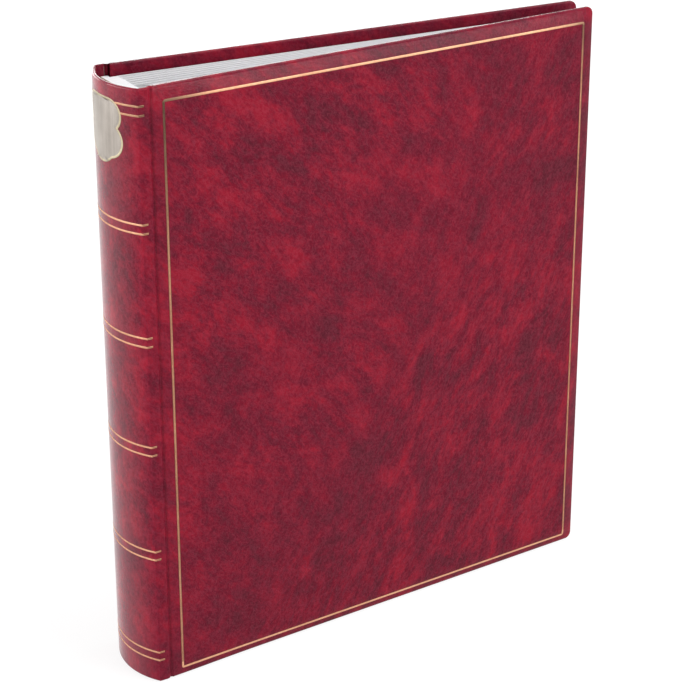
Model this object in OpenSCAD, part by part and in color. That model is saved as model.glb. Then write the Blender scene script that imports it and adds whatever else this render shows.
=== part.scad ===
/* [Album] */
// Height of the covers and of the spine
album_h = 320; // [240:1:360]
// Width of a cover from its hinge axis to the fore-edge
cover_w = 270; // [200:1:320]
// Thickness over both covers at the hinge grooves
spine_t = 50; // [46:0.5:60]
// Thickness over both covers at the fore-edge
fore_t = 20; // [19:0.5:30]
// How far the round of the spine stands out behind its creases
spine_sag = 8.3; // [6:0.1:14]

/* [Covers] */
// Thickness of the leatherette
skin_t = 0.5; // [0.4:0.1:0.8]
// Thickness of the foam padding
pad_t = 1; // [0.5:0.1:2]
// Thickness of the binder's board
board_t = 2; // [1.5:0.1:3]
// Width of the leatherette turned in over the board's inside
turn_in = 15; // [10:1:20]
// Distance from the cover's edges to the endpaper
paper_inset = 7; // [4:1:12]
// Rounding of the padded outer edges
edge_r = 2.6; // [1:0.1:3]
// Rounding of the corners at the fore-edge
corner_r = 4; // [2:0.5:10]

/* [Gold] */
// Width of the frame line on the front cover
frame_line = 1.3; // [0.6:0.1:2.5]
// Distance from the top edge to the frame line
frame_top = 6.9; // [3:0.1:20]
// Distance from the bottom edge to the frame line
frame_foot = 4; // [3:0.1:20]
// Distance from the hinge axis to the frame line
frame_hinge = 6; // [3:0.1:20]
// Distance from the fore-edge to the frame line
frame_fore = 7; // [4:0.1:20]
// Width of each line round the spine
band_line = 1; // [0.6:0.1:2]
// Distance between the two lines of a pair
band_gap = 4.6; // [3:0.1:8]
// Distance from one pair to the next
band_pitch = 58.8; // [40:0.1:64]
// Height of the top line
band_top = 311.4; // [200:0.1:350]

/* [Leaves] */
// Height of the leaves
leaf_h = 308; // [220:1:350]
// Width of a leaf from its hinge to the fore-edge
leaf_w = 260; // [180:1:310]
// Thickness of the leaf card
card_t = 0.5; // [0.3:0.05:0.6]
// Thickness of a clear strip
strip_t = 0.12; // [0.1:0.01:0.15]
// Thickness of an interleaf
tissue_t = 0.08; // [0.05:0.01:0.1]
// Rows of strips on each page
rows = 8; // [4:1:10]
// Height of a strip
strip_h = 29; // [15:0.5:40]

/* [Hidden] */
$fn = 64;
leaves = 12;
// covers: v runs through the thickness, from the outer face to the inner face
face_v = -1.3;
inner_v = face_v + skin_t + pad_t + board_t + skin_t;
paper_t = 0.2;
hinge_y = spine_t / 2 + face_v;
cover_a = asin((spine_t - fore_t) / 2 / cover_w);
cover_s = 0.8;
inner_r = 0.7;
pad_edge = 5.5;
board_edge = 1.2;
pocket_s = 2.5;
window_s = 6;
paper_s = 3;
foil_t = 0.12;
// hinges: a full round on the spine body, and a hollow on the cover's edge
roll_r = 1;
roll_gap = 0.3;
web_t = 0.8;
// spine
land_x = -1.6;
crease_x = -6.2;
land_y = spine_t / 2 - 0.5;
crease_y = land_y + 0.3;
round_r = (crease_y * crease_y + spine_sag * spine_sag) / 2 / spine_sag;
round_x = crease_x - spine_sag + round_r;
spine_skin_t = 0.6;
liner_t = 1;
flap_h = 12;
flap_y = 18;
// guards
tab_t = 0.5;
stub_back = -3.6;
stub_front = 3.7;
shoulder_front = -0.2;
stub_y = land_y - spine_skin_t - liner_t - 0.3;
mull_t = 0.3;
lining_t = 0.3;
// leaves
leaf_z = (album_h - leaf_h) / 2;
pivot_x = 4.5;
pivot_y = spine_t / 2 - 5.6;
pitch = 2 * pivot_y / (leaves - 1);
bead_r = 0.45;
fore_gap = 0.2;
fore_y = hinge_y - (pivot_x + leaf_w) * sin(cover_a) - inner_v - paper_t;
leaf_half = card_t / 2 + strip_t;
fore_pitch = (2 * (fore_y - fore_gap) - 2 * leaf_half - tissue_t) / (leaves - 1);
strip_s = 14;
strip_end = 10;
strip_foot = 8;
row_pitch = (leaf_h - strip_foot) / rows;
tissue_edge = 2;
// the whole album is centred on its box
fore_x = (cover_w - edge_r) * cos(cover_a) - (face_v + edge_r) * sin(cover_a) + edge_r;
back_x = crease_x - spine_sag - foil_t;
mid_x = (fore_x + back_x) / 2;
// label
label_z = album_h;

function leaf_y(i) = -pivot_y + (i - 1) * pitch;
function leaf_end_y(i) = -fore_y + fore_gap + leaf_half + (i - 1) * fore_pitch;
function leaf_a(i) = asin((leaf_end_y(i) - leaf_y(i)) / leaf_w);

// ---- placing ----
module at_spine() {
    translate([-mid_x, 0, 0]) children();
}

module at_front() {
    translate([-mid_x, -hinge_y, 0]) rotate([0, 0, cover_a]) children();
}

module at_back() {
    mirror([0, 1, 0]) at_front() children();
}

module at_leaf(i) {
    translate([pivot_x - mid_x, leaf_y(i), leaf_z]) rotate([0, 0, leaf_a(i)]) children();
}

module both_sides() {
    children();
    mirror([0, 1]) children();
}

// ---- covers ----
// a rectangle from the origin with its left corners rounded by ra and its right corners by rb
module soft_rect(w, h, ra, rb) {
    translate([ra, 0]) square([w - ra - rb, h]);
    translate([0, ra]) square([ra, h - 2 * ra]);
    translate([w - rb, rb]) square([rb, h - 2 * rb]);
    for (y = [ra, h - ra]) translate([ra, y]) circle(ra);
    for (y = [rb, h - rb]) translate([w - rb, y]) circle(rb);
}

module cover_form() {
    t = inner_v - face_v;
    intersection() {
        // rounded along the top and the foot
        translate([0, face_v, 0]) rotate([90, 0, 90])
            linear_extrude(cover_w) soft_rect(t, album_h, edge_r, inner_r);
        // rounded along the fore-edge
        linear_extrude(album_h) union() {
            translate([cover_s, face_v]) square([cover_w - cover_s - edge_r, t]);
            translate([cover_w - edge_r, face_v + edge_r])
                square([edge_r, t - edge_r - inner_r]);
            translate([cover_w - edge_r, inner_v - inner_r]) square([edge_r - inner_r, inner_r]);
            translate([cover_w - edge_r, face_v + edge_r]) circle(edge_r);
            translate([cover_w - inner_r, inner_v - inner_r]) circle(inner_r);
        }
        // rounded corners
        translate([0, inner_v + 1, 0]) rotate([90, 0, 0]) linear_extrude(t + 2) union() {
            square([cover_w - corner_r, album_h]);
            translate([0, corner_r]) square([cover_w, album_h - 2 * corner_r]);
            for (z = [corner_r, album_h - corner_r])
                translate([cover_w - corner_r, z]) circle(corner_r);
        }
    }
}

// a plate from x0 to the fore-edge, drawn in by e, with its two outer corners rounded by r
module plate_2d(x0, e, r) {
    translate([x0, e]) square([cover_w - e - r - x0, album_h - 2 * e]);
    translate([cover_w - e - r, e + r]) square([r, album_h - 2 * e - 2 * r]);
    for (z = [e + r, album_h - e - r]) translate([cover_w - e - r, z]) circle(r);
}

module pad_form() {
    translate([0, face_v + skin_t + pad_t, 0]) rotate([90, 0, 0])
        linear_extrude(pad_t) plate_2d(pocket_s, pad_edge, 1.5);
}

module board_form() {
    translate([0, inner_v - skin_t, 0]) rotate([90, 0, 0])
        linear_extrude(board_t) plate_2d(pocket_s, board_edge, corner_r - board_edge);
}

module window_form() {
    translate([window_s, inner_v - skin_t, turn_in])
        cube([cover_w - turn_in - window_s, skin_t, album_h - 2 * turn_in]);
}

module cover_skin() {
    difference() {
        cover_form();
        cylinder(h = album_h, r = roll_r + roll_gap);
        pad_form();
        board_form();
        window_form();
    }
}

module endpaper() {
    window_form();
    translate([paper_s, inner_v, paper_inset])
        cube([cover_w - paper_inset - paper_s, paper_t, album_h - 2 * paper_inset]);
}

module frame() {
    w = cover_w - frame_fore - frame_hinge;
    h = album_h - frame_top - frame_foot;
    translate([frame_hinge, face_v, frame_foot]) rotate([90, 0, 0])
        linear_extrude(foil_t) difference() {
            square([w, h]);
            translate([frame_line, frame_line])
                square([w - 2 * frame_line, h - 2 * frame_line]);
        }
}

module front_board() {
    color("burlywood") at_front() board_form();
}

module front_padding() {
    color("white") at_front() pad_form();
}

module front_skin() {
    color("firebrick") at_front() cover_skin();
}

module front_endpaper() {
    color("ivory") at_front() endpaper();
}

module front_gold_frame() {
    color("gold") at_front() frame();
}

module back_board() {
    color("burlywood") at_back() board_form();
}

module back_padding() {
    color("white") at_back() pad_form();
}

module back_skin() {
    color("firebrick") at_back() cover_skin();
}

module back_endpaper() {
    color("ivory") at_back() endpaper();
}

// ---- spine ----
// the round between two depths under its outer face, out to yk on each side
module round_2d(a, b, yk) {
    intersection() {
        difference() {
            translate([round_x, 0]) circle(round_r - a);
            translate([round_x, 0]) circle(round_r - b);
        }
        translate([-30, -yk]) square([30 + crease_x, 2 * yk]);
    }
}

// the flat lands beside the creases, between two depths
module land_2d(a, b) {
    both_sides() translate([crease_x, land_y - b]) square([land_x - crease_x, b - a]);
}

module spine_skin() {
    color("firebrick") at_spine() {
        linear_extrude(album_h) {
            round_2d(0, spine_skin_t, 30);
            land_2d(0, spine_skin_t);
        }
        for (z = [0, album_h - spine_skin_t]) translate([0, 0, z])
            linear_extrude(spine_skin_t) {
                round_2d(0.3, spine_skin_t + liner_t + 0.6, flap_y);
                round_2d(0.3, spine_skin_t + liner_t, 30);
                land_2d(0.3, spine_skin_t + liner_t);
            }
        for (z = [0, album_h - flap_h]) translate([0, 0, z])
            linear_extrude(flap_h) round_2d(spine_skin_t + liner_t, spine_skin_t + liner_t + 0.6, flap_y);
    }
}

module spine_liner() {
    color("tan") at_spine() translate([0, 0, spine_skin_t])
        linear_extrude(album_h - 2 * spine_skin_t) {
            round_2d(spine_skin_t, spine_skin_t + liner_t, 30);
            land_2d(spine_skin_t, spine_skin_t + liner_t);
        }
}

// two lobes one above the other on each side, drawn in by e all round
module label_2d(e) {
    for (y = [-7.5, 7.5]) translate([y, -15.5]) circle(8.5 - e);
    for (y = [-7.3, 7.3]) translate([y, -28]) circle(9.2 - e);
    translate([0, -27.5]) circle(13 - e);
    translate([-7.5, -28]) square([15, 21 - e]);
}

module on_round() {
    intersection() {
        linear_extrude(album_h) round_2d(-foil_t, 0, 30);
        translate([-30, 0, 0]) rotate([90, 0, 90]) linear_extrude(30) children();
    }
}

module spine_bands() {
    color("gold") at_spine() on_round() difference() {
        for (k = [0:5], d = [0, band_gap])
            translate([-25, band_top - k * band_pitch - d - band_line / 2])
                square([50, band_line]);
        translate([0, label_z]) label_2d(0);
    }
}

module spine_label() {
    color("lightgray") at_spine() on_round() translate([0, label_z]) label_2d(0.9);
}

module spine_label_rim() {
    color("gold") at_spine() on_round() translate([0, label_z]) difference() {
        label_2d(0);
        label_2d(0.9);
    }
}

module hinge_roll() {
    at_spine() translate([0, -hinge_y, 0]) {
        cylinder(h = album_h, r = roll_r);
        translate([land_x, -web_t / 2, 0]) cube([-land_x, web_t, album_h]);
    }
}

module front_joint() {
    color("darkred") hinge_roll();
}

module back_joint() {
    color("darkred") mirror([0, 1, 0]) hinge_roll();
}

// ---- guards ----
module strip_at(x0, x1, y0, y1, z0, z1) {
    translate([x0, y0, z0]) cube([x1 - x0, y1 - y0, z1 - z0]);
}

module guard_stubs() {
    z1 = leaf_z + leaf_h;
    color("white") at_spine() {
        for (i = [1:leaves - 1])
            strip_at(stub_back, stub_front, leaf_y(i) + tab_t / 2, leaf_y(i + 1) - tab_t / 2, leaf_z, z1);
        strip_at(stub_back, shoulder_front, -stub_y, leaf_y(1) - tab_t / 2, leaf_z, z1);
        strip_at(stub_back, shoulder_front, leaf_y(leaves) + tab_t / 2, stub_y, leaf_z, z1);
    }
}

module leaf_tabs() {
    color("whitesmoke") at_spine() for (i = [1:leaves])
        strip_at(stub_back, pivot_x - bead_r - roll_gap, leaf_y(i) - tab_t / 2, leaf_y(i) + tab_t / 2,
            leaf_z, leaf_z + leaf_h);
}

module spine_mull() {
    z1 = leaf_z + leaf_h;
    color("beige") at_spine() {
        strip_at(stub_back - mull_t, stub_back, -stub_y - mull_t, stub_y + mull_t, leaf_z, z1);
        strip_at(stub_back - mull_t, land_x, -stub_y - mull_t, -stub_y, leaf_z, z1);
        strip_at(stub_back - mull_t, land_x, stub_y, stub_y + mull_t, leaf_z, z1);
    }
}

module spine_lining() {
    color("peru") at_spine()
        strip_at(stub_back - mull_t - lining_t, stub_back - mull_t, -stub_y, stub_y, leaf_z, leaf_z + leaf_h);
}

// ---- leaves ----
module leaf(i) {
    color("white") at_leaf(i) {
        translate([0, -card_t / 2, 0]) cube([leaf_w, card_t, leaf_h]);
        cylinder(h = leaf_h, r = bead_r);
    }
}

module strips(i) {
    color("lightcyan") at_leaf(i) for (k = [0:rows - 1], v = [-leaf_half, card_t / 2])
        translate([strip_s, v, strip_foot + k * row_pitch])
            cube([leaf_w - strip_s - strip_end, strip_t, strip_h]);
}

module interleaf(i) {
    color("aliceblue") at_leaf(i) translate([tissue_edge, leaf_half, tissue_edge])
        cube([leaf_w - 2 * tissue_edge, tissue_t, leaf_h - 2 * tissue_edge]);
}

module leaf_01() {
    leaf(1);
}

module leaf_02() {
    leaf(2);
}

module leaf_03() {
    leaf(3);
}

module leaf_04() {
    leaf(4);
}

module leaf_05() {
    leaf(5);
}

module leaf_06() {
    leaf(6);
}

module leaf_07() {
    leaf(7);
}

module leaf_08() {
    leaf(8);
}

module leaf_09() {
    leaf(9);
}

module leaf_10() {
    leaf(10);
}

module leaf_11() {
    leaf(11);
}

module leaf_12() {
    leaf(12);
}

module strips_01() {
    strips(1);
}

module strips_02() {
    strips(2);
}

module strips_03() {
    strips(3);
}

module strips_04() {
    strips(4);
}

module strips_05() {
    strips(5);
}

module strips_06() {
    strips(6);
}

module strips_07() {
    strips(7);
}

module strips_08() {
    strips(8);
}

module strips_09() {
    strips(9);
}

module strips_10() {
    strips(10);
}

module strips_11() {
    strips(11);
}

module strips_12() {
    strips(12);
}

module interleaf_01() {
    interleaf(1);
}

module interleaf_02() {
    interleaf(2);
}

module interleaf_03() {
    interleaf(3);
}

module interleaf_04() {
    interleaf(4);
}

module interleaf_05() {
    interleaf(5);
}

module interleaf_06() {
    interleaf(6);
}

module interleaf_07() {
    interleaf(7);
}

module interleaf_08() {
    interleaf(8);
}

module interleaf_09() {
    interleaf(9);
}

module interleaf_10() {
    interleaf(10);
}

module interleaf_11() {
    interleaf(11);
}

module interleaf_12() {
    interleaf(12);
}

spine_skin();
spine_liner();
spine_bands();
spine_label();
spine_label_rim();
guard_stubs();
leaf_tabs();
spine_mull();
spine_lining();
front_joint();
back_joint();
front_board();
front_padding();
front_skin();
front_endpaper();
front_gold_frame();
back_board();
back_padding();
back_skin();
back_endpaper();
leaf_01();
leaf_02();
leaf_03();
leaf_04();
leaf_05();
leaf_06();
leaf_07();
leaf_08();
leaf_09();
leaf_10();
leaf_11();
leaf_12();
strips_01();
strips_02();
strips_03();
strips_04();
strips_05();
strips_06();
strips_07();
strips_08();
strips_09();
strips_10();
strips_11();
strips_12();
interleaf_01();
interleaf_02();
interleaf_03();
interleaf_04();
interleaf_05();
interleaf_06();
interleaf_07();
interleaf_08();
interleaf_09();
interleaf_10();
interleaf_11();
interleaf_12();
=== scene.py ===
"""Bound stamp album: padded leatherette covers, hollow rounded spine, card leaves."""
import math

import bmesh
import bpy
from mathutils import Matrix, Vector


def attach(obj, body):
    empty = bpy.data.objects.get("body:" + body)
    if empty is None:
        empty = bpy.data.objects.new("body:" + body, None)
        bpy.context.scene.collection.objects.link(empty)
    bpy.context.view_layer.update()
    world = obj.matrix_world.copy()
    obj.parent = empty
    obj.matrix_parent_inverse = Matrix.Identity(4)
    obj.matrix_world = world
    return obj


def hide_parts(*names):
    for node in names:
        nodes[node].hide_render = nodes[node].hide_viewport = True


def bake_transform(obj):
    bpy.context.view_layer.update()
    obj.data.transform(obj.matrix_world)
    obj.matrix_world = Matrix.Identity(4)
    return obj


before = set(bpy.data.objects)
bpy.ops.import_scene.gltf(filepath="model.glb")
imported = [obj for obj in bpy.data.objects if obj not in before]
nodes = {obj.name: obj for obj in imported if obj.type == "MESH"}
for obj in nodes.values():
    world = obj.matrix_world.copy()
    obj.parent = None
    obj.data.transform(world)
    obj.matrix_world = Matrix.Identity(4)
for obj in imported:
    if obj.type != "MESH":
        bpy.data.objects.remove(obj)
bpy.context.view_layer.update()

# ---- sizes, in millimetres ----
MM = 0.001
ALBUM_H = 320
MID_X = 127.4474  # from the hinge line to the album's middle
# covers, measured from the hinge line; the face looks out at FACE_V
SIDES = (("front", -1), ("back", 1))
HINGE_Y = 23.7
COVER_TURN = math.radians(3.184739)
COVER_START = 0.8
COVER_W = 270
FACE_V = -1.3
INNER_V = 2.7
PAPER_T = 0.2
OUTER_EDGE_R = 1.2
INNER_EDGE_R = 0.7
CORNER_R = 4
POCKET_S = 2.5
FOAM_V = -0.8
FOAM_T = 1
FOAM_EDGE = 5.5
FOAM_EDGE_R = 0.6
PAPER_Z = 7
# how the padded face falls towards its edges
PAD_FALL = 1.6
PAD_WIDTH = 7.6
PAD_CURVE = 1.25
HINGE_FALL = 0.45
HINGE_REACH = 50
# joints
JOINT_END = 2.6
JOINT_T = 0.5
JOINT_BACK_LAP = 0.02
JOINT_COVER_LAP = 0.05
VALLEY_START = -1.2
VALLEY_W = 2.8
INNER_JOINT_START = -0.3
INNER_JOINT_END = 4.2
INNER_JOINT_T = 0.15
INNER_JOINT_V = 2.55
INNER_JOINT_STEP = 0.36
INNER_JOINT_STEP_W = 1.9
# spine
ROUND_R = 41.2
ROUND_X = 26.7
LAND_X = -1.6
LAND_Y = 24.5
CREASE_R = 0.8
SKIN_T = 0.6
HEAD_T = 1.6
HEAD_H = 1.4
HEAD_R = 0.8
HEAD_INNER_R = 0.5
FLAP_T = 1.87
FLAP_H = 12
FLAP_EDGE = 0.7
FLAP_LAP = 0.1
GROOVE_X = 0.1
GROOVE_W = 0.75
GROOVE_DEPTH = 0.9
# gold
GOLD_T = 0.1
GOLD_UP = 0.07
GOLD_SIDE_UP = 0.015
FRAME_HINGE = 6
FRAME_TOP = 6.9
FRAME_FOOT = 4
FRAME_FORE = 7
FRAME_LINE = 1.3
FRAME_SHOULDER = 0.22
FRAME_CORNER = 1.7
BAND_LINE = 1
BAND_CORE = 0.3
BAND_TOP = 311.4
BAND_GAP = 4.6
BAND_PITCH = 58.8
BAND_HOOK = 2.6
# label, measured down from the head of the spine: sideways, up, radius of each lobe
LOBES = ((-7.5, -15.5, 8.5), (7.5, -15.5, 8.5), (-7.3, -28, 9.2), (7.3, -28, 9.2), (0, -27.5, 13))
LABEL_TOP = -7
LABEL_MIDDLE = -22
LABEL_RIM = ((0, 0.03), (0.25, 0.13), (1.05, 0.13), (1.3, 0.03))  # inset and height
LABEL_FIELD_INSET = 1.2
LABEL_FIELD_ROWS = 6
LABEL_FIELD_UP = 0.07
LABEL_FIELD_T = 0.06
# leaves
LEAVES = 12
PIVOT_X = 4.5
PIVOT_Y = 19.4
LEAF_Z = 6
LEAF_H = 308
LEAF_W = 260
LEAF_HALF = 0.37
STRIP_ROWS = 8
STRIP_START = 14
STRIP_END = 10
STRIP_FOOT = 8
STRIP_H = 29
STRIP_IN = 0.27
STRIP_OUT = 0.35
LINEN_BACK = 0.72
LINEN_FRONT = 5.5
LINEN_HALF = 0.34
LINEN_BEND_END = 1.6
FORE_GAP = 0.2
FORE_PLAY = 0.08

PITCH_Y = 2 * PIVOT_Y / (LEAVES - 1)
FORE_Y = HINGE_Y - (PIVOT_X + LEAF_W) * math.sin(COVER_TURN) - INNER_V - PAPER_T - FORE_GAP
FORE_PITCH = (2 * FORE_Y - 2 * LEAF_HALF - FORE_PLAY) / (LEAVES - 1)
MID_UP = ALBUM_H / 2 * MM


# ---- places ----
def cover_place(side):
    """From a cover's width, thickness and height to the album; side is -1 in front, 1 behind."""
    def place(p):
        x = p.x * math.cos(COVER_TURN) - p.y * math.sin(COVER_TURN)
        y = p.x * math.sin(COVER_TURN) + p.y * math.cos(COVER_TURN) - HINGE_Y
        return Vector((x - MID_X, -side * y, p.z))
    return place


def leaf_place(i):
    """From a leaf's own width, thickness and height to the album."""
    root = -PIVOT_Y + (i - 1) * PITCH_Y
    edge = -FORE_Y + LEAF_HALF + (i - 1) * FORE_PITCH
    turn = math.asin((edge - root) / LEAF_W)

    def place(p):
        x = p.x * math.cos(turn) - p.y * math.sin(turn)
        y = p.x * math.sin(turn) + p.y * math.cos(turn)
        return Vector((PIVOT_X - MID_X + x, root + y, p.z))
    return place


CREASE_Y = LAND_Y - CREASE_R
CREASE_X = ROUND_X - math.sqrt((ROUND_R - CREASE_R) ** 2 - CREASE_Y ** 2)
CREASE_TURN = math.atan2(CREASE_Y, ROUND_X - CREASE_X)
ROUND_RUN = ROUND_R * CREASE_TURN
CREASE_RUN = ROUND_RUN + CREASE_R * (math.pi / 2 - CREASE_TURN)
LAND_RUN = CREASE_RUN + LAND_X - CREASE_X
FLAP_RUN = LAND_RUN - 0.2
JOINT_RUN = CREASE_RUN + JOINT_END - CREASE_X


def smooth(t):
    """0 up to 0, 1 from 1 on and a soft rise between."""
    t = min(1, max(0, t))
    return t * t * (3 - 2 * t)


def valley_y(x):
    """The leather's line from the land, down through the groove and up to the cover's face."""
    cover_face = HINGE_Y - x * math.sin(COVER_TURN) - FACE_V * math.cos(COVER_TURN)
    level = LAND_Y + (cover_face - LAND_Y) * smooth((x - VALLEY_START) / VALLEY_W)
    return level - GROOVE_DEPTH * math.exp(-((x - GROOVE_X) / GROOVE_W) ** 2)


def leather_run(run):
    """Point and outward direction of the leather's face, at a run from the spine's middle."""
    side = -1 if run < 0 else 1
    run = abs(run)
    if run <= ROUND_RUN:
        turn = run / ROUND_R
        x, y = ROUND_X - ROUND_R * math.cos(turn), ROUND_R * math.sin(turn)
        out = (-math.cos(turn), math.sin(turn))
    elif run <= CREASE_RUN:
        turn = CREASE_TURN + (run - ROUND_RUN) / CREASE_R
        x, y = CREASE_X - CREASE_R * math.cos(turn), CREASE_Y + CREASE_R * math.sin(turn)
        out = (-math.cos(turn), math.sin(turn))
    else:
        x = CREASE_X + run - CREASE_RUN
        y = valley_y(x)
        short = 0.01
        slope = (valley_y(x + short) - valley_y(x - short)) / (2 * short)
        length = math.hypot(1, slope)
        out = (-slope / length, 1 / length)
    return Vector((x - MID_X, side * y, 0)), Vector((out[0], side * out[1], 0))


def run_place(p):
    """From run along the leather, depth under its face and height to the album."""
    point, out = leather_run(p.x)
    return point - out * p.y + Vector((0, 0, p.z))


def pad_fall(s, z):
    """How far the padded face falls near its edges; less by the hinge, where it is drawn tight."""
    tight = HINGE_FALL + (1 - HINGE_FALL) * smooth((s - JOINT_END) / HINGE_REACH)
    left = 1
    for d in (z, ALBUM_H - z, COVER_W - s):
        left *= 1 - max(0, 1 - d / PAD_WIDTH) ** PAD_CURVE
    return PAD_FALL * tight * (1 - left)


def round_fall(d, r):
    """How far an edge of radius r has fallen at a distance from its end."""
    return r - math.sqrt(max(0, r * r - max(0, r - d) ** 2))


# ---- making pieces ----
def finish_piece(bm, name, finish, sharp):
    """The finished piece: in metres, closed, smooth but for edges sharper than that angle."""
    bmesh.ops.scale(bm, vec=(MM, MM, MM), verts=bm.verts)
    bmesh.ops.remove_doubles(bm, verts=bm.verts, dist=1e-7)
    bmesh.ops.recalc_face_normals(bm, faces=bm.faces)
    mesh = bpy.data.meshes.new(name)
    bm.to_mesh(mesh)
    bm.free()
    mesh.shade_smooth()
    mesh.set_sharp_from_angle(angle=math.radians(sharp))
    mesh.materials.append(finish)
    piece = bpy.data.objects.new(name, mesh)
    bpy.context.scene.collection.objects.link(piece)
    return piece


def block(bm, low, high):
    """A block between two corners, and its vertices."""
    made = bmesh.ops.create_cube(bm, size=1)["verts"]
    low, high = Vector(low), Vector(high)
    bmesh.ops.scale(bm, vec=high - low, verts=made)
    bmesh.ops.translate(bm, vec=(low + high) / 2, verts=made)
    return made


def cut(bm, axis, places):
    """Cuts the whole mesh across an axis at each place."""
    normal = Vector((axis == 0, axis == 1, axis == 2))
    for place in places:
        bmesh.ops.bisect_plane(bm, geom=bm.verts[:] + bm.edges[:] + bm.faces[:], dist=1e-5,
                               plane_co=normal * place, plane_no=normal)


def move(bm, place):
    for v in bm.verts:
        v.co = place(v.co)


def edges_where(bm, test):
    return [e for e in bm.edges if all(test(v.co) for v in e.verts)]


def bevel(bm, edges, offset, segments):
    bmesh.ops.bevel(bm, geom=edges, offset=offset, segments=segments, profile=0.5,
                    affect="EDGES", material=-1)


def near(a, b):
    return abs(a - b) < 1e-4


def steps(low, high, count):
    return [low + (high - low) * k / count for k in range(1, count)]


EDGE_CUTS = (0.3, 0.7, 1.2, 1.9, 2.7, 3.5, 4.3, 5.1, 5.8, 6.4, 6.9, 7.3, 7.6, 9)
HEAD_CUTS = (0.12, 0.4, 0.8, 1.2, 1.9, 2.7, 3.5, 4.4, 5.4, 6.4, 7, 7.6, 10)


def head_and_foot():
    """Where the joints are cut up their height: closely at the ends, evenly between."""
    return list(HEAD_CUTS) + steps(10, ALBUM_H - 10, 20) + [ALBUM_H - d for d in HEAD_CUTS]


def round_cuts():
    """Where pieces round the spine are cut, so that they follow its round and its creases."""
    crease = [ROUND_RUN + k * (CREASE_RUN - ROUND_RUN) / 4 for k in range(5)]
    return steps(-ROUND_RUN, ROUND_RUN, 44) + [side * run for side in (-1, 1) for run in crease]


# ---- finishes ----
class Tone:
    """A number that changes over a surface. Arithmetic on it adds the nodes."""

    def __init__(self, finish, socket):
        self.finish, self.socket = finish, socket

    def _math(self, operation, *values):
        return self.finish.add("Math", {"operation": operation}, dict(enumerate(values)))

    def __add__(self, other):
        return self._math("ADD", self, other)

    def __radd__(self, other):
        return self._math("ADD", other, self)

    def __sub__(self, other):
        return self._math("SUBTRACT", self, other)

    def __rsub__(self, other):
        return self._math("SUBTRACT", other, self)

    def __mul__(self, other):
        return self._math("MULTIPLY", self, other)

    def __rmul__(self, other):
        return self._math("MULTIPLY", other, self)

    def __abs__(self):
        return self._math("ABSOLUTE", self)

    def clamp(self):
        return self.finish.add("Clamp", {}, {0: self})

    def output(self, name):
        """Another output of the same node."""
        return Tone(self.finish, self.socket.node.outputs[name])

    def step(self, low, high):
        """0 below low, 1 above high and smooth between."""
        return self.finish.add("MapRange", {"interpolation_type": "SMOOTHSTEP"},
                               {"Value": self, "From Min": low, "From Max": high})


class Nodes:
    """The nodes of one material, or of the surroundings."""

    def __init__(self, tree):
        self.tree = tree
        tree.nodes.clear()

    def add(self, kind, settings, values, take=0):
        """A node of that type, its settings first, then the values or links of its sockets."""
        node = self.tree.nodes.new("ShaderNode" + kind)
        for key, value in settings.items():
            if key == "stops":
                ramp = node.color_ramp
                while len(ramp.elements) < len(value):
                    ramp.elements.new(0.5)
                for element, (position, colour) in zip(ramp.elements, value):
                    element.position = position
                    element.color = (*colour, 1)
            else:
                setattr(node, key, value)
        for key, value in values.items():
            self.plug(node.inputs[key], value)
        return Tone(self, node.outputs[take]) if node.outputs else node

    def plug(self, socket, value):
        if isinstance(value, Tone):
            self.tree.links.new(value.socket, socket)
        elif isinstance(value, tuple) and len(value) == 3 and socket.type == "RGBA":
            socket.default_value = (*value, 1)
        else:
            socket.default_value = value

    def looked_at(self):
        """1 for what is seen, straight or by way of gloss or glass, and 0 for what lights."""
        rays = self.add("LightPath", {}, {}, "Is Camera Ray")
        gloss = rays.output("Is Glossy Ray")
        glass = rays.output("Is Transmission Ray")
        return (rays + gloss + glass).clamp()


class Finish(Nodes):
    """One material, on the album's own coordinates."""

    def __init__(self, name, **constants):
        self.material = bpy.data.materials.new(name)
        self.material.use_nodes = True
        super().__init__(self.material.node_tree)
        values = {key.title().replace("Ior", "IOR"): value for key, value in constants.items()}
        self.shine = self.add("BsdfPrincipled", {}, values)
        self.surface = self.shine.socket.node
        self.output = self.add("OutputMaterial", {}, {"Surface": self.shine})
        self.place = self.add("TexCoord", {}, {}, "Object")

    def drawn(self, lean, length):
        """Places for a pattern drawn out upwards, leaning to the fore-edge by that many degrees."""
        return self.add("Mapping", {"vector_type": "TEXTURE"},
                        {"Vector": self.place, "Rotation": (0, math.radians(lean), 0),
                         "Scale": (1, 1, length)})

    def noise(self, scale, detail, roughness=0.5, distortion=0, place=None):
        return self.add("TexNoise", {},
                        {"Vector": place or self.place, "Scale": scale, "Detail": detail,
                         "Roughness": roughness, "Distortion": distortion})

    def cells(self, scale, feature):
        return self.add("TexVoronoi", {"feature": feature},
                        {"Vector": self.place, "Scale": scale}, "Distance")

    def waves(self, scale, axis, distortion):
        return self.add("TexWave", {"bands_direction": axis},
                        {"Vector": self.place, "Scale": scale, "Distortion": distortion}, "Fac")

    def ramp(self, value, *stops):
        return self.add("ValToRGB", {"stops": stops}, {"Fac": value})

    def mix(self, amount, first, second):
        """One colour going over into another."""
        return self.add("Mix", {"data_type": "RGBA"}, {0: amount, 6: first, 7: second}, 2)

    def bump(self, height, distance, strength):
        return self.add("Bump", {}, {"Height": height, "Distance": distance, "Strength": strength})

    def set(self, **values):
        """Plugs tones into the surface's sockets, and gives back the finished material."""
        for name, value in values.items():
            self.plug(self.surface.inputs[name.replace("_", " ").title()], value)
        return self.material


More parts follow.
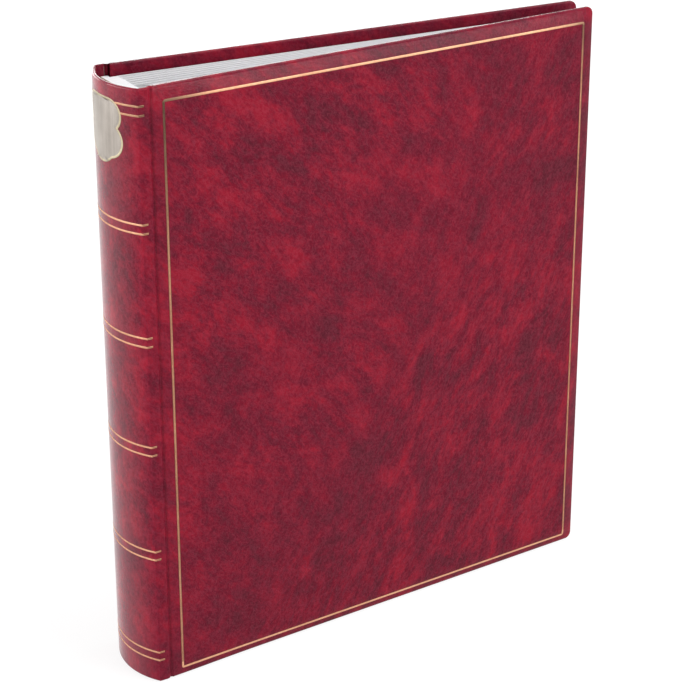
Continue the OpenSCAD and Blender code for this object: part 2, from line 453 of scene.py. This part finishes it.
def leatherette():
    """Wine-red antique leatherette: a cloudy print in slanting strokes, grain and thin creases, the
    grain and creases painted paler as a painted highlight.
    """
    f = Finish("leatherette", ior=1.16)
    x = f.add("SeparateXYZ", {}, {0: f.place})
    z = x.output("Z")
    lean = (x * 2.6 - (z - MID_UP) * 2.2 + f.noise(9, 2, 0.5, 0.5) * 0.9 + 0.05).step(0.2, 0.8)
    falling, rising = f.drawn(-44, 1.9), f.drawn(27, 2.1)

    def strokes(scale, detail, roughness, distortion=0):
        a = f.noise(scale, detail, roughness, distortion, falling)
        return a + (f.noise(scale, detail, roughness, distortion, rising) - a) * lean
    cloud = strokes(70, 6, 0.74, 0.3)
    brush = strokes(330, 3, 0.7)
    patch = f.noise(14, 3, 0.6, 0.8)
    speck = f.noise(1300, 3, 0.65)
    tone = cloud * 0.57 + patch * 0.22 + brush * 0.17 + speck * 0.04
    colour = f.ramp(tone, (0.42, (0.081, 0.0067, 0.0157)), (0.48, (0.118, 0.0043, 0.0157)),
                    (0.53, (0.166, 0.0051, 0.0176)), (0.585, (0.237, 0.0064, 0.0197)))
    ridges = f.noise(330, 4, 0.6, 1.2, falling)
    crossing = f.noise(290, 4, 0.6, 1.2, rising)
    creases = ((1 - abs(ridges * 2 - 1) * 8).clamp() * (1 - lean * 0.6)
               + (1 - abs(crossing * 2 - 1) * 8).clamp() * (0.3 + lean * 0.7))
    # painted highlight: the grain's ridges and the creases are mixed towards a paler, greyer red,
    # standing in for glints of light on them; the creases also shape the bump
    grain = (1 - abs(f.noise(320, 2, 0.5, 0.6) * 2 - 1) * 6).clamp()
    colour = f.mix(grain * 0.07 + creases * 0.11, colour, (0.38, 0.060, 0.102))
    round_edge = -0.1335
    polished = (round_edge - x).step(0, 0.008)
    pebble = f.cells(900, "DISTANCE_TO_EDGE").step(0, 0.25)
    height = creases * 0.4 + brush * 0.9 + pebble * 0.45 + speck * 0.4
    return f.set(base_color=colour, roughness=0.13 + speck * 0.07 + brush * 0.07,
                 coat_weight=0.01 + cloud * 0.02 + polished * 0.5,
                 normal=f.bump(height, 0.00006, 0.8))


def gold(name, low, middle, high):
    """Blocked gold: bright in the middle of a line, brown at its sides, with painted shade dulling
    it at the head corners.
    """
    f = Finish(name)
    core = f.add("Attribute", {"attribute_name": "core"}, {}, "Fac")
    wear = f.noise(700, 4, 0.7)
    cloud = f.noise(60, 3)
    x = f.add("SeparateXYZ", {}, {0: f.place})
    z = x.output("Z")
    spine_corner, edge_corner, corner_up = -0.121, 0.1355, 0.313
    below = corner_up - z
    # painted shade: the gold is mixed towards dark brown near the front cover's two head corners,
    # and on the top spine lines by the front crease
    shade_by_spine = 1 - (abs(x - spine_corner) * 3 + below + cloud * 0.02).step(0.01, 0.10)
    shade_by_edge = 1 - (abs(x - edge_corner) * 1.5 + below + cloud * 0.01).step(0.002, 0.04)
    bright = f.ramp(wear * 0.6 + cloud * 0.4, (0.3, low), (0.52, middle), (0.75, high))
    bright = f.mix(shade_by_spine * 0.92 + shade_by_edge * 0.7, bright, (0.105, 0.056, 0.031))
    colour = f.mix(core.step(0.15, 0.8), (0.11, 0.036, 0.014), bright)
    return f.set(base_color=colour, metallic=0.32 + core * 0.18, roughness=0.42 + wear * 0.14,
                 normal=f.bump(wear, 0.00004, 0.5))


def label_foil():
    """Pale greyed foil of the plain label, brushed up and down."""
    f = Finish("label foil")
    brush = f.noise(500, 3, 0.6, 0, f.drawn(0, 16))
    cloud = f.noise(90, 3)
    colour = f.ramp(brush * 0.5 + cloud * 0.5,
                    (0.3, (0.207, 0.179, 0.153)), (0.7, (0.33, 0.293, 0.258)))
    return f.set(base_color=colour, metallic=0.3, roughness=0.36 + brush * 0.2,
                 normal=f.bump(brush, 0.00003, 0.4))


def card():
    """White leaf card with a faint fibre."""
    f = Finish("leaf card", ior=1.4)
    fibre = f.noise(900, 5, 0.7, 0.2, f.drawn(0, 3))
    cloud = f.noise(25, 3)
    colour = f.ramp(fibre * 0.7 + cloud * 0.3,
                    (0.3, (0.86, 0.862, 0.885)), (0.7, (0.91, 0.912, 0.93)))
    return f.set(base_color=colour, roughness=0.62 + fibre * 0.2,
                 normal=f.bump(fibre, 0.00005, 0.5))


def endpaper():
    """Off-white endpaper with laid lines."""
    f = Finish("endpaper", ior=1.4)
    laid = f.waves(420, "Z", 0.6)
    fibre = f.noise(700, 4, 0.7)
    cloud = f.noise(18, 3)
    colour = f.ramp(fibre * 0.5 + cloud * 0.4 + laid * 0.1,
                    (0.3, (0.69, 0.68, 0.65)), (0.7, (0.79, 0.785, 0.76)))
    return f.set(base_color=colour, roughness=0.66 + fibre * 0.16,
                 normal=f.bump(laid * 0.5 + fibre * 0.5, 0.00005, 0.5))


def clear_film():
    """Clear strips: a glossy film that shows the card behind."""
    f = Finish("clear film", ior=1.45)
    ripple = f.noise(280, 3, 0.5, 0, f.drawn(90, 4))
    dust = f.noise(1500, 3, 0.7)
    return f.set(base_color=f.ramp(dust, (0.3, (0.86, 0.89, 0.91)), (0.7, (0.94, 0.96, 0.97))),
                 alpha=0.08 + dust * 0.06, roughness=0.10 + dust * 0.1,
                 normal=f.bump(ripple, 0.0004, 0.25))


def glassine():
    """Thin translucent interleaf with a crackled look."""
    f = Finish("glassine", ior=1.4)
    crackle = f.cells(160, "DISTANCE_TO_EDGE").step(0, 0.12)
    fibre = f.noise(600, 4, 0.7)
    return f.set(base_color=f.ramp(fibre, (0.3, (0.85, 0.86, 0.865)), (0.7, (0.93, 0.935, 0.94))),
                 alpha=0.22 + crackle * 0.10 + fibre * 0.08, roughness=0.32 + fibre * 0.2,
                 normal=f.bump(crackle, 0.00005, 0.5))


def woven(name, low, high, threads, depth):
    """A plain weave of fine threads."""
    f = Finish(name, ior=1.4)
    warp = f.waves(threads, "X", 0.4)
    weft = f.waves(threads, "Z", 0.4)
    slub = f.noise(threads * 0.4, 3, 0.6)
    weave = warp * weft * 0.7 + slub * 0.3
    colour = f.ramp(weave + slub * 0.2, (0.15, low), (0.75, high))
    return f.set(base_color=colour, roughness=0.78 + slub * 0.14, normal=f.bump(weave, depth, 0.8))


def board(name, low, high, scale, depth):
    """Pressed board or rough paper with flecks."""
    f = Finish(name, ior=1.4)
    fibre = f.noise(scale, 5, 0.75)
    fleck = f.noise(scale * 3, 2).step(0.6, 0.75)
    colour = f.mix(fleck * 0.5, f.ramp(fibre, (0.3, low), (0.7, high)), low)
    return f.set(base_color=colour, roughness=0.75 + fibre * 0.2, normal=f.bump(fibre, depth, 0.7))


def foam():
    """Closed-cell padding foam."""
    f = Finish("foam", ior=1.4)
    cell = f.cells(1400, "F1")
    cloud = f.noise(60, 3)
    colour = f.ramp(cell * 0.6 + cloud * 0.5, (0.2, (0.66, 0.65, 0.61)), (0.8, (0.82, 0.81, 0.77)))
    return f.set(base_color=colour, roughness=0.8 + cell * 0.1, normal=f.bump(cell, 0.0001, 0.7))


LEATHER = leatherette()
GOLD = gold("gold foil", (0.51, 0.228, 0.128), (0.69, 0.345, 0.20), (0.79, 0.457, 0.28))
LABEL_GOLD = gold("label gold", (0.27, 0.225, 0.14), (0.37, 0.313, 0.207), (0.47, 0.40, 0.28))
LABEL = label_foil()
CARD = card()
ENDPAPER = endpaper()
FILM = clear_film()
GLASSINE = glassine()
LINEN = woven("linen", (0.80, 0.803, 0.813), (0.89, 0.893, 0.90), 900, 0.00004)
MULL = woven("mull", (0.38, 0.34, 0.26), (0.70, 0.66, 0.56), 420, 0.00015)
GREYBOARD = board("greyboard", (0.25, 0.22, 0.185), (0.42, 0.38, 0.32), 300, 0.0001)
KRAFT = board("kraft paper", (0.30, 0.20, 0.12), (0.46, 0.33, 0.21), 500, 0.00005)
FOAM = foam()


# ---- covers ----
def cover_leather(name, side):
    """Leatherette drawn over the padded board: soft falling edges outside, tight ones inside."""
    bm = bmesh.new()
    block(bm, (COVER_START, FACE_V, 0), (COVER_W, INNER_V, ALBUM_H))
    for v in bm.verts:
        if near(v.co.x, COVER_START) and near(v.co.y, FACE_V):
            v.co.x = JOINT_END
    corners = [e for e in edges_where(bm, lambda p: near(p.x, COVER_W))
               if near(e.verts[0].co.z, e.verts[1].co.z)]
    bevel(bm, corners, CORNER_R, 8)

    def rim(level):
        return [e for e in bm.edges if all(near(v.co.y, level) for v in e.verts)
                and not all(v.co.x < JOINT_END + 0.1 for v in e.verts)]
    bevel(bm, rim(FACE_V), OUTER_EDGE_R, 7)
    bevel(bm, rim(INNER_V), INNER_EDGE_R, 3)
    cut(bm, 0, steps(JOINT_END, JOINT_END + HINGE_REACH + 5, 11) + [COVER_W - d for d in EDGE_CUTS])
    cut(bm, 2, list(EDGE_CUTS) + [ALBUM_H - d for d in EDGE_CUTS])
    for v in bm.verts:
        share = 1 - (v.co.y - FACE_V) / (INNER_V - INNER_EDGE_R - FACE_V)
        v.co.y += max(0, share) * pad_fall(v.co.x, v.co.z)
    move(bm, cover_place(side))
    return finish_piece(bm, name, LEATHER, 30)


for word, side in SIDES:
    leather = cover_leather(word + "_leather", side)
    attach(leather, word + "_cover")
    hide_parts(word + "_skin")


def cover_foam(name, side):
    """Foam pad under the leatherette, its edges pressed down."""
    bm = bmesh.new()
    low = (POCKET_S, FOAM_V, FOAM_EDGE)
    high = (COVER_W - FOAM_EDGE, FOAM_V + FOAM_T, ALBUM_H - FOAM_EDGE)
    block(bm, low, high)
    bevel(bm, edges_where(bm, lambda p: near(p.y, FOAM_V)), FOAM_EDGE_R, 4)
    cut(bm, 0, steps(low[0] + 2, high[0] - 2, 12))
    cut(bm, 2, steps(low[2] + 2, high[2] - 2, 14))
    move(bm, cover_place(side))
    return finish_piece(bm, name, FOAM, 60)


for word, side in SIDES:
    foam_pad = cover_foam(word + "_foam", side)
    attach(foam_pad, word + "_cover")
    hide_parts(word + "_padding")


# ---- spine ----
def spine_leather():
    """Leatherette round the hollow spine, turned in over the liner at head and foot."""
    bm = bmesh.new()
    block(bm, (-LAND_RUN, 0, 0), (LAND_RUN, HEAD_T, ALBUM_H))
    cut(bm, 2, (HEAD_H, ALBUM_H - HEAD_H))
    inside = [f for f in bm.faces
              if all(near(v.co.y, HEAD_T) and 1 < v.co.z < ALBUM_H - 1 for v in f.verts)]
    made = bmesh.ops.extrude_face_region(bm, geom=inside)["geom"]
    bmesh.ops.translate(bm, vec=(0, SKIN_T - HEAD_T, 0),
                        verts=[v for v in made if isinstance(v, bmesh.types.BMVert)])
    bmesh.ops.delete(bm, geom=[f for f in inside if f.is_valid], context="FACES")
    for z in (0, ALBUM_H):
        bevel(bm, edges_where(bm, lambda p: near(p.z, z) and near(p.y, 0)), HEAD_R, 5)
        bevel(bm, edges_where(bm, lambda p: near(p.z, z) and near(p.y, HEAD_T)), HEAD_INNER_R, 3)
    for low in (FLAP_EDGE, ALBUM_H - FLAP_H):
        block(bm, (-FLAP_RUN, HEAD_T - FLAP_LAP, low), (FLAP_RUN, FLAP_T, low + FLAP_H - FLAP_EDGE))
    cut(bm, 0, round_cuts())
    cut(bm, 0, [side * (CREASE_RUN + k * 0.6) for side in (-1, 1) for k in range(1, 8)])
    cut(bm, 2, steps(10, ALBUM_H - 10, 12))
    move(bm, run_place)
    return finish_piece(bm, "spine_leather", LEATHER, 50)


spine = spine_leather()
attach(spine, "spine")
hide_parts("spine_skin")


def joint_leather(name, side):
    """The leatherette from the spine's land down through the groove and up to the cover."""
    bm = bmesh.new()
    low, high = sorted((side * (LAND_RUN - JOINT_BACK_LAP), side * (JOINT_RUN + JOINT_COVER_LAP)))
    block(bm, (low, 0, 0), (high, JOINT_T, ALBUM_H))
    cut(bm, 0, [side * (LAND_RUN + k * (JOINT_RUN - LAND_RUN) / 18) for k in range(1, 18)])
    cut(bm, 2, head_and_foot())
    for v in bm.verts:
        share = smooth((abs(v.co.x) - LAND_RUN) / (JOINT_RUN - LAND_RUN))
        d = min(v.co.z, ALBUM_H - v.co.z)
        shade_by_spine = round_fall(d, HEAD_R)
        by_cover = pad_fall(JOINT_END, d) + round_fall(d, OUTER_EDGE_R)
        v.co.y += (1 - share) * shade_by_spine + share * by_cover
    move(bm, run_place)
    return finish_piece(bm, name, LEATHER, 50)


for word, side in SIDES:
    joint = joint_leather(word + "_joint_leather", side)
    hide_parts(word + "_joint")
    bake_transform(joint)


def inner_joint(name, side):
    """Endpaper running on from the last guard, across the joint, to the board."""
    bm = bmesh.new()
    start, end = INNER_JOINT_START, INNER_JOINT_END
    block(bm, (start, 0, PAPER_Z), (end, INNER_JOINT_T, ALBUM_H - PAPER_Z))
    cut(bm, 0, steps(start, end, 15))
    cut(bm, 2, steps(PAPER_Z, ALBUM_H - PAPER_Z, 16))
    for v in bm.verts:
        share = smooth((v.co.x - start) / INNER_JOINT_STEP_W)
        v.co.y += INNER_JOINT_V + INNER_JOINT_STEP * share
    move(bm, cover_place(side))
    return finish_piece(bm, name, ENDPAPER, 60)


for word, side in SIDES:
    paper = inner_joint(word + "_inner_joint", side)
    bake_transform(paper)


# ---- gold ----
def inside_line(d):
    """Whether a distance from the frame's outline is on the line's bright middle."""
    return 0.1 < d < FRAME_LINE - 0.1


def frame_line():
    """The single gold line round the front cover."""
    bm = bmesh.new()
    made = bmesh.ops.create_grid(bm, x_segments=1, y_segments=1, size=0.5)["verts"]
    low = Vector((FRAME_HINGE, FRAME_FOOT, 0))
    high = Vector((COVER_W - FRAME_FORE, ALBUM_H - FRAME_TOP, 0))
    bmesh.ops.scale(bm, vec=high - low + Vector((0, 0, 1)), verts=made)
    bmesh.ops.translate(bm, vec=(low + high) / 2, verts=made)
    bmesh.ops.bevel(bm, geom=made, offset=FRAME_CORNER, segments=5, profile=0.5,
                    affect="VERTICES", material=-1)
    middle = bm.faces[:]
    done = 0
    for inset in (FRAME_SHOULDER, FRAME_LINE / 2, FRAME_LINE - FRAME_SHOULDER, FRAME_LINE):
        bmesh.ops.inset_region(bm, faces=middle, thickness=inset - done,
                               use_even_offset=True, use_boundary=True)
        done = inset
    bmesh.ops.delete(bm, geom=middle, context="FACES")

    def from_outline(p):
        return min(p.x - low.x, high.x - p.x, p.y - low.y, high.y - p.y)
    core = bm.verts.layers.float.new("core")
    for v in bm.verts:
        v[core] = 1 if inside_line(from_outline(v.co)) else 0
    near_corner = (2, 3, 4, 5, 6)
    hinge_end = HINGE_REACH + 8
    cut(bm, 0, [low.x + k for k in (3, 5, 7)] + [high.x - k for k in near_corner]
        + steps(low.x + 10, hinge_end, 9) + steps(hinge_end, high.x - 8, 8))
    cut(bm, 1, [low.y + k for k in near_corner] + [high.y - k for k in near_corner]
        + steps(low.y + 8, high.y - 8, 14))
    for v in bm.verts:
        s, z = v.co.x, v.co.y
        up = GOLD_UP if inside_line(from_outline(v.co)) else GOLD_SIDE_UP
        v.co = Vector((s, FACE_V + pad_fall(s, z) - up, z))
    bmesh.ops.solidify(bm, geom=bm.faces[:], thickness=GOLD_T)
    move(bm, cover_place(-1))
    return finish_piece(bm, "front_gold_line", GOLD, 60)


front_line = frame_line()
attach(front_line, "front_cover")
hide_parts("front_gold_frame")


# ---- label and lines of the spine ----
def label_reach(turn, inset):
    """How far the label reaches from its middle in one direction."""
    reach = 0
    for y, z, r in LOBES:
        along = y * math.cos(turn) + (z - LABEL_MIDDLE) * math.sin(turn)
        off = y * y + (z - LABEL_MIDDLE) ** 2 - (r - inset) ** 2
        if along * along > off:
            reach = max(reach, along + math.sqrt(along * along - off))
    if math.sin(turn) > 0.5:
        up = (LABEL_TOP - inset - LABEL_MIDDLE) / math.sin(turn)
        if abs(up * math.cos(turn)) < LOBES[1][0]:
            reach = max(reach, up)
    return reach


def label_half(z):
    """Half the label's width at a height from the top."""
    halves = [abs(y) + math.sqrt(r * r - (z - c) ** 2) for y, c, r in LOBES if abs(z - c) < r]
    return max(halves, default=0)


def band(bm, z):
    """One gold line round the spine, to just past the creases."""
    end = CREASE_RUN + BAND_HOOK
    half = label_half(z - ALBUM_H)
    for low, high in ([(-end, -half), (half, end)] if half else [(-end, end)]):
        made = bmesh.ops.create_grid(bm, x_segments=1, y_segments=4, size=0.5)["verts"]
        bmesh.ops.scale(bm, vec=(high - low, BAND_LINE, 1), verts=made)
        bmesh.ops.translate(bm, vec=((low + high) / 2, z, 0), verts=made)


def spine_bands():
    """Six pairs of gold lines round the spine."""
    bm = bmesh.new()
    heights = [BAND_TOP - k * BAND_PITCH - d for k in range(6) for d in (0, BAND_GAP)]
    for z in heights:
        band(bm, z)
    cut(bm, 0, round_cuts())
    core = bm.verts.layers.float.new("core")
    for v in bm.verts:
        bright = min(abs(v.co.y - z) for z in heights) < BAND_CORE * BAND_LINE
        v[core] = 1 if bright else 0
        v.co = Vector((v.co.x, -GOLD_UP if bright else -GOLD_SIDE_UP, v.co.y))
    bmesh.ops.solidify(bm, geom=bm.faces[:], thickness=GOLD_T)
    move(bm, run_place)
    return finish_piece(bm, "spine_gold_lines", GOLD, 60)


def on_round(y, z, up):
    """A point of the label, up above the round of the spine."""
    return Vector((ROUND_X - MID_X - math.sqrt((ROUND_R + up) ** 2 - y * y), y, ALBUM_H + z))


def label_rings(bm, points, count):
    """Rings joined one to the next, still in one place, each as its vertices' directions."""
    verts = bmesh.ops.create_circle(bm, segments=points, radius=1)["verts"]
    edges = bm.edges[:]
    rings = [{v: math.atan2(v.co.y, v.co.x) for v in verts}]
    for _ in range(count - 1):
        made = bmesh.ops.extrude_edge_only(bm, edges=edges)["geom"]
        ring = {v: math.atan2(v.co.y, v.co.x) for v in made if isinstance(v, bmesh.types.BMVert)}
        edges = [e for e in made
                 if isinstance(e, bmesh.types.BMEdge) and all(v in ring for v in e.verts)]
        rings.append(ring)
    return rings


def label_rim():
    """The gold outline of the label."""
    bm = bmesh.new()
    core = bm.verts.layers.float.new("core")
    for ring, (inset, up) in zip(label_rings(bm, 160, len(LABEL_RIM)), LABEL_RIM):
        for v, turn in ring.items():
            reach = label_reach(turn, inset)
            v.co = on_round(reach * math.cos(turn), LABEL_MIDDLE + reach * math.sin(turn), up)
            v[core] = 1 if up > LABEL_RIM[0][1] else 0
    bmesh.ops.recalc_face_normals(bm, faces=bm.faces)
    bmesh.ops.solidify(bm, geom=bm.faces[:], thickness=GOLD_T)
    return finish_piece(bm, "spine_label_line", LABEL_GOLD, 60)


def label_field():
    """The plain field inside the outline."""
    bm = bmesh.new()
    points = 96
    for k, ring in enumerate(label_rings(bm, points, LABEL_FIELD_ROWS)):
        for v, turn in ring.items():
            reach = label_reach(turn, LABEL_FIELD_INSET) * (1 - k / LABEL_FIELD_ROWS)
            y, z = reach * math.cos(turn), LABEL_MIDDLE + reach * math.sin(turn)
            v.co = on_round(y, z, LABEL_FIELD_UP)
    bmesh.ops.holes_fill(bm, edges=[e for e in bm.edges if e.is_boundary], sides=points)
    bmesh.ops.recalc_face_normals(bm, faces=bm.faces)
    bmesh.ops.solidify(bm, geom=bm.faces[:], thickness=LABEL_FIELD_T)
    return finish_piece(bm, "spine_label_field", LABEL, 60)


for piece, node in ((spine_bands(), "spine_bands"), (label_rim(), "spine_label_rim"),
                    (label_field(), "spine_label")):
    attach(piece, "spine")
    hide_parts(node)


# ---- hinges of the leaves ----
def leaf_hinge(i):
    """Linen over the fold where a leaf leaves its guard."""
    bm = bmesh.new()
    block(bm, (-LINEN_BACK, -LINEN_HALF, 0), (LINEN_FRONT, LINEN_HALF, LEAF_H))
    cut(bm, 0, steps(-LINEN_BACK, LINEN_BEND_END, 10))
    bmesh.ops.translate(bm, vec=(0, 0, LEAF_Z), verts=bm.verts)
    move(bm, leaf_place(i))
    return finish_piece(bm, "leaf_hinge_%02d" % i, LINEN, 40)


for i in range(1, LEAVES + 1):
    hinge = leaf_hinge(i)
    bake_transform(hinge)


# ---- clear strips ----
def clear_strips(i):
    """Rows of clear film on both faces of a leaf, a hair off the card."""
    bm = bmesh.new()
    for row in range(STRIP_ROWS):
        foot = LEAF_Z + STRIP_FOOT + row * (LEAF_H - STRIP_FOOT) / STRIP_ROWS
        for low, high in ((-STRIP_OUT, -STRIP_IN), (STRIP_IN, STRIP_OUT)):
            block(bm, (STRIP_START, low, foot), (LEAF_W - STRIP_END, high, foot + STRIP_H))
    move(bm, leaf_place(i))
    return finish_piece(bm, "clear_strips_%02d" % i, FILM, 30)


for i in range(1, LEAVES + 1):
    film = clear_strips(i)
    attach(film, "leaf_%02d" % i)
    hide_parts("strips_%02d" % i)


# ---- finishes of the CAD pieces ----
def finish_for(node):
    """The finish of a CAD piece by its name; leatherette where none is named."""
    if node.startswith("leaf_tabs"):
        return LINEN
    if node.startswith("leaf_"):
        return CARD
    if node.startswith("strips_"):
        return FILM
    if node.startswith("interleaf_"):
        return GLASSINE
    return {"spine_liner": GREYBOARD, "front_board": GREYBOARD, "back_board": GREYBOARD,
            "guard_stubs": CARD, "spine_mull": MULL, "spine_lining": KRAFT,
            "front_padding": FOAM, "back_padding": FOAM,
            "front_endpaper": ENDPAPER, "back_endpaper": ENDPAPER,
            "spine_bands": GOLD, "spine_label_rim": GOLD, "front_gold_frame": GOLD,
            "spine_label": LABEL}.get(node, LEATHER)


for name, node in nodes.items():
    if not node.material_slots:
        node.data.materials.append(finish_for(name))
    for slot in node.material_slots:
        slot.material = finish_for(name)


# ---- stage ----
def floor_finish():
    """Pale floor that keeps the album's shadow; further off it is plain white."""
    f = Finish("floor", roughness=0.9)
    grain = f.noise(3, 2)
    f.set(base_color=f.ramp(grain, (0.3, (0.66, 0.66, 0.66)), (0.7, (0.69, 0.69, 0.69))))
    far = f.add("VectorMath", {"operation": "LENGTH"}, {0: f.place}, "Value").step(0.9, 2.4)
    white = f.add("Emission", {}, {"Color": (1, 1, 1), "Strength": 1.2})
    share = f.looked_at() * (0.67 + far * 0.33)
    shown = f.add("MixShader", {}, {0: share, 1: f.shine, 2: white})
    f.plug(f.output.inputs["Surface"], shown)
    return f.material


floor_mesh = bpy.data.meshes.new("floor")
bm = bmesh.new()
bmesh.ops.create_circle(bm, cap_ends=True, segments=96, radius=14)
bmesh.ops.translate(bm, vec=(0, 0, -0.0003), verts=bm.verts)
bm.to_mesh(floor_mesh)
bm.free()
floor_mesh.materials.append(floor_finish())
floor = bpy.data.objects.new("floor", floor_mesh)
bpy.context.scene.collection.objects.link(floor)


def soft_light(name, at, aim, size, power):
    """A softbox that lights the album and isn't seen itself."""
    data = bpy.data.lights.new(name, "AREA")
    data.shape = "RECTANGLE"
    data.size, data.size_y = size
    data.energy = power
    lamp = bpy.data.objects.new(name, data)
    lamp.location = at
    lamp.rotation_mode = "QUATERNION"
    lamp.rotation_quaternion = (Vector(aim) - Vector(at)).to_track_quat("-Z", "Y")
    lamp.visible_camera = False
    bpy.context.scene.collection.objects.link(lamp)


soft_light("low softbox", (1.25, -2.2, 0.58), (0, 0, 0.25), (1.3, 0.62), 27)
soft_light("key softbox", (-1.55, -1.75, 1.05), (0, 0, 0.16), (1.2, 1.0), 4)
soft_light("side softbox", (-1.95, 0.3, 0.4), (-0.1, 0, 0.18), (2.4, 0.74), 41)
soft_light("back softbox", (0.1, 2.1, 0.45), (-0.1, 0, 0.18), (2.8, 0.85), 32)
soft_light("top softbox", (0.95, -0.65, 2.3), (0, 0, 0.25), (1.6, 1.6), 48)


def surroundings():
    """White where it is looked at; a plainer grey as a light."""
    world = bpy.data.worlds.new("studio")
    bpy.context.scene.world = world
    world.use_nodes = True
    n = Nodes(world.node_tree)
    grey = n.add("Background", {}, {"Color": (1, 1, 1), "Strength": 0.42})
    white = n.add("Background", {}, {"Color": (1, 1, 1), "Strength": 1})
    shown = n.add("MixShader", {}, {0: n.looked_at(), 1: grey, 2: white})
    n.add("OutputWorld", {}, {"Surface": shown})


surroundings()

# ---- camera ----
turn, rise = math.radians(-31.02), math.radians(21.63)
back = Vector((math.sin(turn) * math.cos(rise), -math.cos(turn) * math.cos(rise), math.sin(rise)))
view = bpy.data.cameras.new("view")
view.sensor_width = 36
view.lens = 107.57
view.shift_x, view.shift_y = -0.0057, -0.1004
view.clip_start, view.clip_end = 0.01, 60
camera = bpy.data.objects.new("view", view)
camera.location = (-0.5293, -0.8772, 0.5955)
camera.rotation_mode = "QUATERNION"
camera.rotation_quaternion = (-back).to_track_quat("-Z", "Y")
bpy.context.scene.collection.objects.link(camera)
bpy.context.scene.camera = camera
bpy.context.scene.view_settings.view_transform = "Standard"
